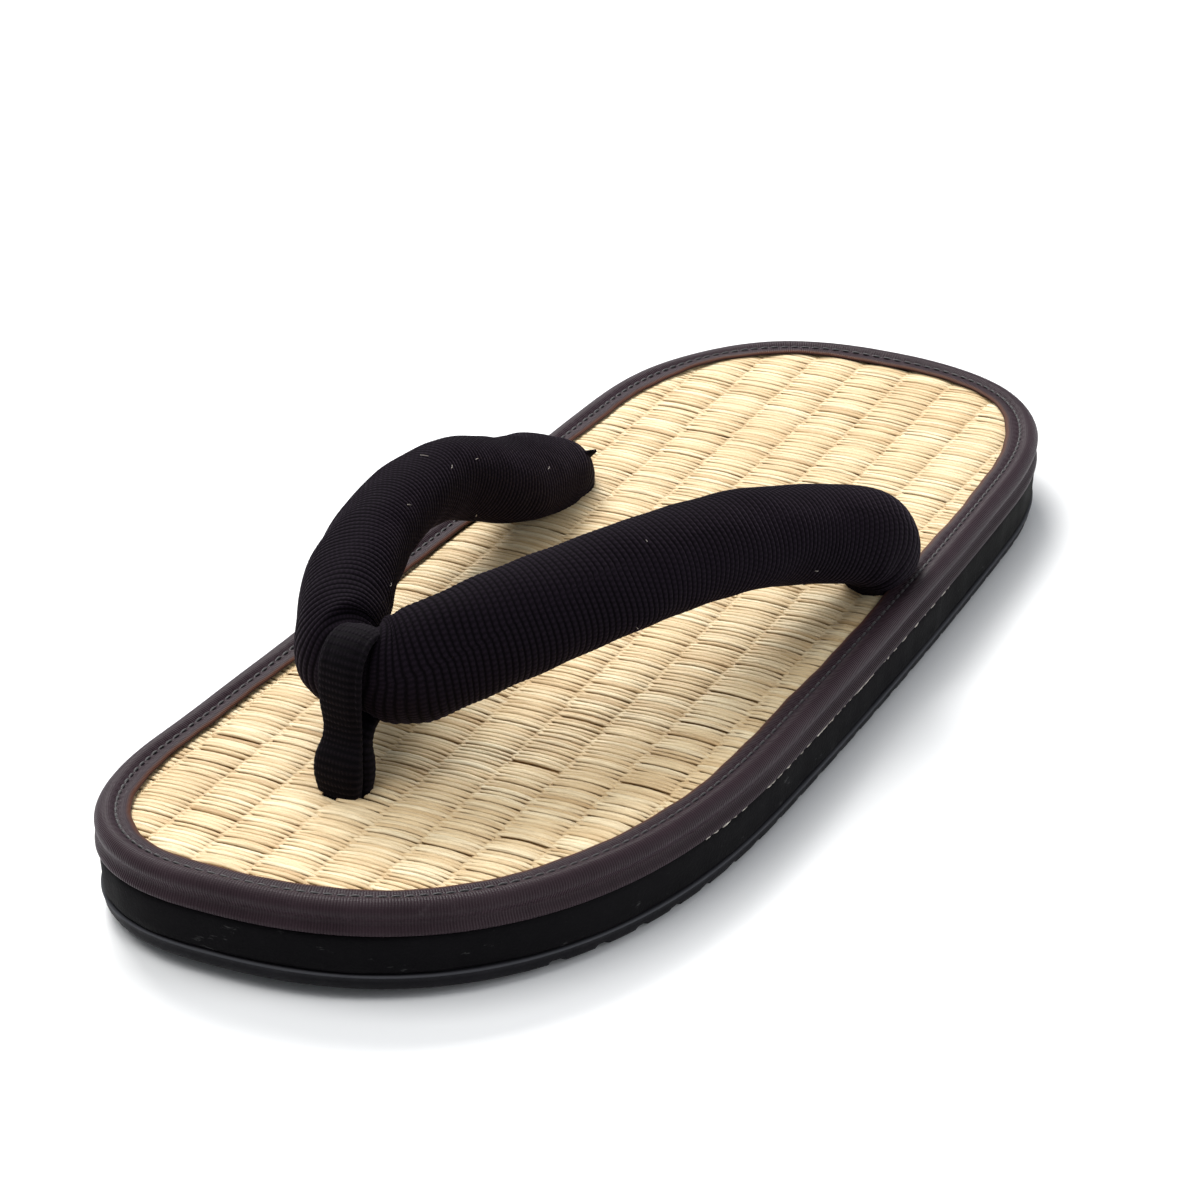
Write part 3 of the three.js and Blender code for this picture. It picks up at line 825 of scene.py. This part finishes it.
def strapCourse(count):
    arm = strap["rows"]
    table = [(-1, row) for row in arm[::-1]] + [(1, strap["middle"])] + [(1, row) for row in arm]
    rows = []
    for side, (across, along, height, shift, sag, wide, thin, fa, fl, fu) in table:
        sag = sag if side < 0 else 0.0
        place = strapPlace(np.float64(side * across + shift), along, height - sag)
        wide *= 1 - strap["flattening"] * sag
        rows.append([*place, wide, thin, *strapTurned(side * fa, fl, fu)])
    course, length = smoothCurve(rows, count)
    tangent = np.gradient(course[:, :3], axis=0)
    tangent /= np.linalg.norm(tangent, axis=1, keepdims=True)
    face = course[:, 5:8] - tangent * (course[:, 5:8] * tangent).sum(1, keepdims=True)
    face /= np.linalg.norm(face, axis=1, keepdims=True)
    middle = length[np.argmin(np.linalg.norm(course[:, :3] - np.array(rows[len(arm)][:3]), axis=1))]
    return course, face, np.cross(tangent, face), length - middle


def strapGrid(count, around, size):
    course, face, side, at = strapCourse(count)
    angle = 2 * np.pi * np.arange(around) / around
    grid = (course[:, None, :3] + face[:, None] * (size * course[:, 4, None] * np.cos(angle))[..., None]
            + side[:, None] * (size * course[:, 3, None] * np.sin(angle))[..., None])
    return grid, at


def stuffed(grid, at):
    # blows the tube up as cloth and gives back its points, no further than the cap from the start
    piece = sweptGrid("strapSimulated", grid[:, ::-1], caps=True)
    height = grid[:, :, 2].mean(1)
    low = np.clip(1 - (height - strap["heldBelow"]) / strap["heldFade"], 0, 1)
    held = low * (np.abs(at) > strap["heldPast"]) + bell(at, 0, strap["heldAtLoop"])
    group = piece.vertex_groups.new(name="held")
    columns = grid.shape[1]
    for ring, weight in enumerate(np.clip(held, 0, 1)):
        group.add(list(range(ring * columns, (ring + 1) * columns)), float(weight), "REPLACE")
    ends = [grid.shape[0] * columns, grid.shape[0] * columns + 1]
    group.add(ends, 1.0, "REPLACE")
    cloth = piece.modifiers.new("cloth", "CLOTH")
    s = cloth.settings
    s.quality, s.mass = 5, 0.3
    s.tension_stiffness = s.compression_stiffness = 12
    s.shear_stiffness, s.bending_stiffness = 4, 0.4
    s.use_pressure, s.uniform_pressure_force = True, strap["pressure"]
    s.vertex_group_mass = "held"
    s.effector_weights.gravity = 0
    cloth.collision_settings.use_collision = False
    cloth.point_cache.frame_start, cloth.point_cache.frame_end = 1, strap["simFrames"]
    scene = bpy.context.scene
    for number in range(1, strap["simFrames"] + 1):
        scene.frame_set(number)
    shape = piece.evaluated_get(bpy.context.evaluated_depsgraph_get())
    found = np.array([v.co for v in shape.data.vertices]) / mm
    scene.frame_set(1)
    bpy.data.objects.remove(piece)
    result = found[: grid.shape[0] * columns].reshape(grid.shape)[:, ::-1]
    moved = result - grid
    far = np.linalg.norm(moved, axis=2, keepdims=True)
    print("strap simulated, mean move", round(float(far.mean()), 2), "mm, most", round(float(far.max()), 2))
    return grid + moved * np.minimum(1, strap["cap"] / np.maximum(far, 1e-9))


def finer(grid, at, rings, around):
    # a denser copy of the tube: smooth round each ring, then smooth along it
    spectrum = np.fft.rfft(grid, axis=1)
    wide = np.fft.irfft(spectrum, n=around, axis=1) * (around / grid.shape[1])
    newAt = np.linspace(at[0], at[-1], rings)
    slopes = np.gradient(wide, at, axis=0)
    i = np.clip(np.searchsorted(at, newAt, side="right") - 1, 0, len(at) - 2)
    h = (at[i + 1] - at[i])[:, None, None]
    u = ((newAt - at[i]) / h[:, 0, 0])[:, None, None]
    dense = ((2 * u**3 - 3 * u**2 + 1) * wide[i] + (u**3 - 2 * u**2 + u) * h * slopes[i]
             + (3 * u**2 - 2 * u**3) * wide[i + 1] + (u**3 - u**2) * h * slopes[i + 1])
    return dense, newAt


def outward(grid):
    along = np.gradient(grid, axis=0)
    around = np.roll(grid, -1, 1) - np.roll(grid, 1, 1)
    normal = np.cross(around, along)
    normal /= np.maximum(np.linalg.norm(normal, axis=2, keepdims=True), 1e-9)
    middle = grid.mean(1, keepdims=True)
    flip = np.sign(((grid - middle) * normal).sum((1, 2), keepdims=True))
    return normal * flip


def offTheLip(grid):
    # low points of the strap's ends rest against the lip of the edge tape instead of running into it
    points = grid.reshape(-1, 3).copy()
    low = np.nonzero((points[:, 2] < strap["lowBelow"]) & (np.abs(points[:, 0]) > strap["endsPast"]))[0]
    for k in low:
        i = np.argmin(((edgePoints - points[k, :2]) ** 2).sum(1))
        inside = float(((edgePoints[i] - points[k, :2]) * edgeOut[i]).sum())
        above = max(0.0, min(1.0, (points[k, 2] - strap["lipTop"]) / strap["lipFade"]))
        needed = strap["lipClear"] - strap["lipEase"] * above ** 0.6
        if inside < needed:
            points[k, :2] -= edgeOut[i] * (needed - inside)
    return points.reshape(grid.shape)


def clothFinish():
    n = Nodes("strapCloth")
    along, around = n.value("along"), n.value("around")
    pitch = strap["ribPitch"]
    cord = n.math("FLOOR", n.math("DIVIDE", along, pitch))
    offset = n.math("MULTIPLY", n.math("MODULO", n.math("ABSOLUTE", cord), 2.0), 0.5)
    turns = n.math("ADD", n.math("DIVIDE", around, strap["beadPitch"]), offset)
    cross = n.math("SINE", n.math("MULTIPLY", turns, 2 * math.pi))
    bead = n.spread(cross, -1.0, 1.0)
    ridge = n.math("ABSOLUTE", n.math("SINE", n.math("MULTIPLY", along, math.pi / pitch)))
    groove = n.spread(ridge, 0.0, 0.8)
    weave = n.math("MULTIPLY", n.spread(bead, 0.0, 1.0, 0.55, 1.0), groove)
    fuzz = n.noise(1900.0, 4.0, 0.7)
    cloudy = n.noise(55.0, 3.0)
    base = n.blend(n.spread(cloudy, 0.3, 0.7), (0.0011, 0.0008, 0.0013), (0.002, 0.0014, 0.0024))
    # weave ridges painted lighter and grooves left near black: painted highlight and shade on the weave
    color = n.blend(n.math("MULTIPLY", n.math("POWER", weave, 1.6), 0.6), base, (0.0135, 0.009, 0.015))
    color = n.blend(n.spread(fuzz, 0.62, 0.8, 0.0, 0.2), color, (0.03, 0.025, 0.03))
    height = n.math("ADD", weave, n.math("MULTIPLY", fuzz, 0.35))
    return n.finish(color=color, rough=0.8, normal=n.bump(height, 0.00016, 0.7), gloss=0.03,
                    sheen=0.045, sheenRough=0.36, sheenTint=(0.75, 0.58, 0.78, 1))


def creaseLift(u, v, girth):
    # troughs with a soft ridge on each side, and slow lumps
    lift = np.zeros_like(u)
    for place, degrees, turn, length, width, depth in strap["creases"]:
        dv = (v - degrees / 360 * girth + girth / 2) % girth - girth / 2
        du = u - place
        c, s = math.cos(math.radians(turn)), math.sin(math.radians(turn))
        along, off = du * c + dv * s, -du * s + dv * c
        taper = np.clip(1 - (along / (length / 2)) ** 2, 0, 1)
        lift += depth * taper * (-np.exp(-((off / width) ** 2)) + 0.45 * bell(off, 2.0 * width, width))
    for length, height, phase in strap["lumps"]:
        swell = np.sin(3 * v / girth * 2 * np.pi + 2 * phase)
        lift += height * np.sin(u / length * 2 * np.pi + phase) * swell
    return lift


def edged(values):
    # one more row and column, for the corners of the last faces
    return np.pad(values, ((0, 1), (0, 1)), mode="edge")


def makeStrap():
    grid, at = strapGrid(strap["rings"], strap["around"], strap["startSize"])
    grid = stuffed(grid, at)
    grid, at = finer(grid, at, strap["fineRings"], strap["fineAround"])
    normal = outward(grid)
    around = 2 * np.pi * np.arange(strap["fineAround"]) / strap["fineAround"]
    girth = 2 * np.pi * strap["meanRadius"]
    u, v = np.meshgrid(at, around / (2 * np.pi) * girth, indexing="ij")
    above = np.clip((grid[:, :, 2] - strap["freeAbove"]) / strap["freeFade"], 0, 1)
    free = above * (1 - 0.8 * bell(u, 0, strap["calmAtLoop"]))
    wobble = 0.22 * np.sin(v / 4.1 + u / 19) + 0.16 * np.sin(v / 2.3 - u / 7.7) + 0.3 * np.sin(v / 8.2 + 0.7)
    smoothness = np.clip((np.abs(u) - strap["smoothPast"]) / strap["smoothFade"], 0, 1)
    rib = np.abs(np.sin(np.pi * (u + wobble) / strap["ribPitch"])) ** 0.75 - 0.6
    lift = creaseLift(u, v, girth) * free + strap["ribHeight"] * rib * (1 - 0.6 * smoothness)
    grid = offTheLip(grid + normal * lift[..., None])
    alongValue, aroundValue = edged(u + wobble), edged(v)
    alongValue[:, -1] = alongValue[:, 0]
    aroundValue[:, -1] = girth
    values = {"along": alongValue, "around": aroundValue}
    values = {key: value[:, ::-1] for key, value in values.items()}
    piece = sweptGrid("strapCloth", grid[:, ::-1], values=values, caps=True)
    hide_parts("strap")
    dress(piece, clothFinish())
    return grid, normal


# the toe loop's own measures, as its hole is cut with the strap's
loop = {
    # along, height, half width, half thickness
    "rows": [
        (-1.5, -3.4, 3.8, 1.4), (-1.5, 0.4, 4.0, 1.5), (-1.8, 3.6, 4.5, 1.65), (-1.5, 6.6, 4.4, 1.5),
        (-0.4, 9.4, 3.8, 1.2), (-0.1, 12.0, 3.7, 0.95), (-0.5, 15.6, 4.0, 0.85), (-0.6, 20.0, 4.2, 0.8),
        (0.1, 24.0, 4.2, 0.8), (2.4, 26.7, 4.1, 0.8), (5.4, 27.4, 3.8, 0.8), (8.4, 26.0, 3.2, 0.8),
        (10.4, 22.6, 2.4, 0.8), (10.7, 18.4, 2.0, 0.8), (9.4, 14.6, 2.4, 0.8), (6.6, 12.4, 3.2, 0.85),
        (3.9, 10.9, 3.5, 1.1), (2.3, 8.6, 3.9, 1.45), (2.0, 5.8, 4.4, 1.75), (1.9, 3.0, 4.4, 1.75),
        (1.75, 0.2, 4.0, 1.6), (1.75, -3.4, 3.8, 1.6),
    ],
    "steps": 620, "around": 44, "across": 0.55, "hole": (4.35, 3.5), "ribPitch": 1.2,
    "warpPitch": 0.7, "ribHeight": 0.13, "squareness": 0.62,
    "folds": [(24.0, 3.1, 0.5, 0.35), (34.0, -2.2, 0.6, 0.2)],
}


def addHole(place, across, along):
    strapHoles.append({"x": place[0], "y": place[1], "turn": -strap["turn"],
                       "halfAcross": across, "halfAlong": along})


def placeHoles():
    grid = strapGrid(strap["rings"], strap["around"], 1.0)[0]
    for end in (0, -1):
        addHole(grid[end].mean(0), *strap["footHole"])
    addHole(strapPlace(loop["across"], 0.1, 0.0), *loop["hole"])


placeHoles()
strapPoints, strapNormals = makeStrap()
print("strap made")
makeCore()
makeRush()
makeWarp()
print("mat made")


# ---- toe loop: one folded tape, up from the mat, over the strap and back down behind itself
def loopFinish():
    n = Nodes("loopCloth")
    along, across = n.value("along"), n.value("across")
    rib = n.spread(n.math("SINE", n.math("MULTIPLY", along, 2 * math.pi / loop["ribPitch"])), -1.0, 1.0)
    warp = n.spread(n.math("SINE", n.math("MULTIPLY", across, 2 * math.pi / loop["warpPitch"])), -1.0, 1.0)
    fuzz = n.noise(2100.0, 4.0, 0.7)
    # rib crests painted lighter than the hollows between them: painted highlight and shade on the ribs
    base = n.blend(n.math("MULTIPLY", rib, 0.6), (0.001, 0.0008, 0.0012), (0.0078, 0.0058, 0.0086))
    color = n.blend(n.spread(fuzz, 0.62, 0.8, 0.0, 0.2), base, (0.03, 0.025, 0.03))
    weave = n.math("MULTIPLY", n.math("MULTIPLY", rib, warp), 0.6)
    height = n.math("ADD", weave, n.math("MULTIPLY", fuzz, 0.4))
    return n.finish(color=color, rough=0.8, normal=n.bump(height, 0.0002, 0.7), gloss=0.04,
                    sheen=0.035, sheenRough=0.5, sheenTint=(0.72, 0.6, 0.76, 1))


def squared(value):
    return np.sign(value) * np.abs(value) ** loop["squareness"]


def makeLoop():
    rows = [[0.0, along, height, wide, thick] for along, height, wide, thick in loop["rows"]]
    course, at = smoothCurve(rows, loop["steps"])
    tangent = np.gradient(course[:, :3], axis=0)
    tangent /= np.linalg.norm(tangent, axis=1, keepdims=True)
    face = np.cross((1.0, 0, 0), tangent)
    angle = 2 * np.pi * np.arange(loop["around"]) / loop["around"]
    across = squared(np.cos(angle))[None] * course[:, 3, None]
    out = squared(np.sin(angle))[None] * course[:, 4, None]
    crown = 0.25 * (1 - (across / course[:, 3, None]) ** 2) * np.sign(out)
    rib = np.abs(np.sin(np.pi * at / loop["ribPitch"])) ** 0.8 - 0.5
    out = out + (crown + loop["ribHeight"] * rib[:, None] * np.sign(out)) * (np.abs(np.sin(angle)) > 0.2)
    for start, place, width, depth in loop["folds"]:
        out -= depth * bell(across, place, width) * bell(at[:, None], start, 10.0) * np.sign(out)
    along = course[:, None, 1] + face[:, None, 1] * out
    height = course[:, None, 2] + face[:, None, 2] * out
    grid = strapPlace(across + loop["across"], along, height)
    values = {"along": np.broadcast_to(np.append(at, at[-1])[:, None], (len(at) + 1, loop["around"] + 1)),
              "across": np.pad(across, ((0, 1), (0, 1)), mode="wrap")}
    piece = sweptGrid("toeLoopTape", grid, values=values, caps=True)
    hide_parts("toe_loop")
    return dress(piece, loopFinish())


makeLoop()
print("toe loop made")


# ---- small things: glue along the seam, lint on the strap
glue = {"from": 95.0, "to": 205.0, "count": 46, "size": 0.42, "inset": 0.3, "height": 10.66,
        "rings": 4, "sides": 8, "tall": 0.55, "thick": 0.35, "sunk": 0.05, "unevenness": 0.0, "seed": 5}
lint = {"count": 16, "length": 1.5, "radius": 0.05, "steps": 7, "above": 0.16, "seed": 3}
tail = {"near": (-27.7, 40.6, 22.6), "aim": (0.8, 0.5, 0.33), "length": 1.8, "width": 5.0, "thick": 1.5,
        "sunk": 1.2, "tip": 0.12, "steps": 12, "sides": 18, "reach": 8, "beadStep": 0.4}


def fleck(middle, out, along, size, stretch, place, draw):
    # the points of one flattened drop, ring by ring from the outside in
    points = []
    for r in range(glue["rings"]):
        lean = math.pi * (r + 0.5) / glue["rings"]
        for c in range(glue["sides"]):
            turn = 2 * math.pi * c / glue["sides"]
            wobble = 1 + 0.25 * math.sin(3 * turn + place)
            a = size * stretch * math.cos(turn) * math.sin(lean) * wobble
            b = glue["tall"] * size * math.sin(turn) * math.sin(lean) * wobble
            o = glue["thick"] * size * math.cos(lean)
            flat = middle[:2] + along * a + out * (o - glue["sunk"])
            points.append((flat[0], flat[1], middle[2] + b + glue["unevenness"] * draw.normal()))
    return points


def glueFinish():
    n = Nodes("driedGlue")
    spots = n.noise(900.0, 3.0)
    color = n.ramp(spots, [(0.35, (0.24, 0.21, 0.18)), (0.7, (0.62, 0.58, 0.5))])
    return n.finish(color=color, rough=0.5, normal=n.bump(spots, 0.0001, 0.5))


def makeGlue():
    draw = np.random.default_rng(glue["seed"])
    ring = ringAt(glue["inset"], glue["height"])
    rings, sides = glue["rings"], glue["sides"]
    points, faces = [], []
    for _ in range(glue["count"]):
        place = draw.uniform(glue["from"], glue["to"])
        i = int(place / edgeLength * len(ring))
        size = glue["size"] * draw.uniform(0.4, 1.3)
        stretch = draw.uniform(1.0, 3.2)
        out = edgeOut[i]
        start = len(points)
        points += fleck(ring[i], out, np.array([-out[1], out[0]]), size, stretch, place, draw)
        quads = gridFaces(rings, sides)[0][:, [0, 3, 2, 1]]
        faces += (start + quads).tolist()
        faces.append([start + c for c in range(sides)][::-1])
        faces.append([start + (rings - 1) * sides + c for c in range(sides)])
    return dress(meshFrom("glueFlecks", points, faces), glueFinish())


def lintFinish():
    n = Nodes("lintFibre")
    color = n.ramp(n.noise(700.0, 2.0), [(0.3, (0.25, 0.22, 0.2)), (0.7, (0.5, 0.46, 0.42))])
    return n.finish(color=color, rough=0.9)


def makeLint():
    draw = np.random.default_rng(lint["seed"])
    t = np.linspace(-0.5, 0.5, lint["steps"])[:, None]
    lines = []
    for _ in range(lint["count"]):
        i = int(draw.uniform(0.08, 0.92) * strapPoints.shape[0])
        c = int(draw.uniform(0, 1) * strapPoints.shape[1])
        start, normal = strapPoints[i, c], strapNormals[i, c]
        side = np.cross(normal, draw.normal(size=3))
        side /= np.linalg.norm(side)
        other = np.cross(normal, side)
        bend = draw.uniform(-0.6, 0.6)
        raised = start + normal * (lint["above"] + 0.1 * np.cos(3 * t))
        length = lint["length"] * draw.uniform(0.3, 1)
        lines.append(raised + length * (side * t + other * bend * t**2))
    lines = np.array(lines)
    piece = manyTubes("lintFibres", lines, 4, np.full(lines.shape[:2], lint["radius"]))
    return dress(piece, lintFinish())


def makeTail():
    # the folded corner of the strap's seam, at the heel end of the -X arm
    apart = ((strapPoints - np.array(tail["near"])) ** 2).sum(2)
    ring, column = np.unravel_index(np.argmin(apart), apart.shape)
    root, reach = strapPoints[ring, column], tail["reach"]
    run = strapPoints[ring + reach, column] - strapPoints[ring - reach, column]
    aim = np.array(tail["aim"]) / np.linalg.norm(tail["aim"])
    run -= aim * (run @ aim)
    run /= np.linalg.norm(run)
    side = np.cross(aim, run)
    shares = np.linspace(0, 1, tail["steps"])
    angle = 2 * np.pi * np.arange(tail["sides"]) / tail["sides"]
    dented = np.sin(angle) * (1 - 0.5 * bell(np.cos(angle), 0, 0.18))
    grid = []
    for t in shares:
        half = tail["width"] / 2 * (1 - t) ** 0.8 + tail["tip"]
        thick = tail["thick"] / 2 * (1 - 0.6 * t)
        middle = root - tail["sunk"] * aim + aim * (tail["length"] + tail["sunk"]) * t + run * 0.5 * t * t
        grid.append(middle + run * (half * np.cos(angle))[:, None] + side * (thick * dented)[:, None])
    along = np.broadcast_to((shares * tail["length"])[:, None], (tail["steps"], tail["sides"]))
    size = (tail["steps"] + 1, tail["sides"] + 1)
    around = np.arange(tail["sides"] + 1) * tail["beadStep"]
    values = {"along": edged(along), "around": np.broadcast_to(around, size)}
    piece = sweptGrid("strapTail", np.array(grid), values=values, caps=True)
    return dress(piece, bpy.data.materials["strapCloth"])


makeTail()
makeGlue()
makeLint()
print("flecks and lint made")


# ---- floor, light and camera
studio = {
    "floor": (0.86, 0.87, 0.88), "floorSize": 14, "floorDrop": 0.0001,
    "sky": (0.93, 0.96, 1.0), "skyStrength": 0.41,
    "cameraAt": (0.2978, -0.6100, 0.3584), "lookAt": (-0.002, -0.006, 0.018), "lens": 126.0, "sensor": 36.0,
    "nearest": 0.01, "farthest": 50,
    # name, place, aim, width, height, watts, colour
    "lamps": [
        ("softboxBack", (-0.75, 0.75, 1.15), (0, 0, 0), 0.8, 0.6, 27.0, (1.0, 0.985, 0.96)),
        ("softboxTop", (-0.35, -0.4, 1.25), (0, -0.08, 0), 1.1, 0.9, 14.0, (1.0, 0.99, 0.97)),
        ("stripSide", (1.1, 0.2, 0.5), (0, 0, 0.01), 0.4, 0.9, 5.0, (0.97, 0.98, 1.0)),
    ],
}


def floorFinish():
    n = Nodes("paleFloor")
    faint = n.noise(3.0, 2.0)
    color = n.ramp(faint, [(0.3, tuple(0.97 * c for c in studio["floor"])), (0.7, studio["floor"])])
    return n.finish(color=color, rough=n.spread(faint, 0.3, 0.7, 0.2, 0.26), gloss=0.35)


def makeFloor():
    bpy.ops.mesh.primitive_plane_add(size=studio["floorSize"], location=(0, 0, -studio["floorDrop"]))
    floor = bpy.context.object
    floor.name = "floor"
    floor.data.materials.append(floorFinish())
    floor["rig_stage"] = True


def makeSky():
    world = bpy.context.scene.world or bpy.data.worlds.new("studioSky")
    bpy.context.scene.world = world
    world.use_nodes = True
    sky = world.node_tree.nodes["Background"]
    sky.inputs["Color"].default_value = (*studio["sky"], 1)
    sky.inputs["Strength"].default_value = studio["skyStrength"]


def stand(name, data, place, aim):
    # an object in the studio that looks from its place at its aim
    holder = bpy.data.objects.new(name, data)
    holder.location = place
    holder.rotation_euler = (Vector(aim) - Vector(place)).to_track_quat("-Z", "Y").to_euler()
    bpy.context.scene.collection.objects.link(holder)
    return holder


def makeLamps():
    for name, place, aim, width, height, watts, colour in studio["lamps"]:
        lamp = bpy.data.lights.new(name, "AREA")
        lamp.shape = "RECTANGLE"
        lamp.size, lamp.size_y = width, height
        lamp.energy, lamp.color = watts, colour
        stand(name, lamp, place, aim)


def makeCamera():
    camera = bpy.data.cameras.new("studioCamera")
    camera.lens, camera.sensor_width = studio["lens"], studio["sensor"]
    camera.clip_start, camera.clip_end = studio["nearest"], studio["farthest"]
    bpy.context.scene.camera = stand("studioCamera", camera, studio["cameraAt"], studio["lookAt"])
    bpy.context.scene.view_settings.view_transform = "Standard"


def triangleCount():
    meshes = [piece.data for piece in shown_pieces() if piece.type == "MESH"]
    return sum(len(face.vertices) - 2 for mesh in meshes for face in mesh.polygons)


makeFloor()
makeSky()
makeLamps()
makeCamera()
print("floor, light and camera made")
print("triangles:", triangleCount())
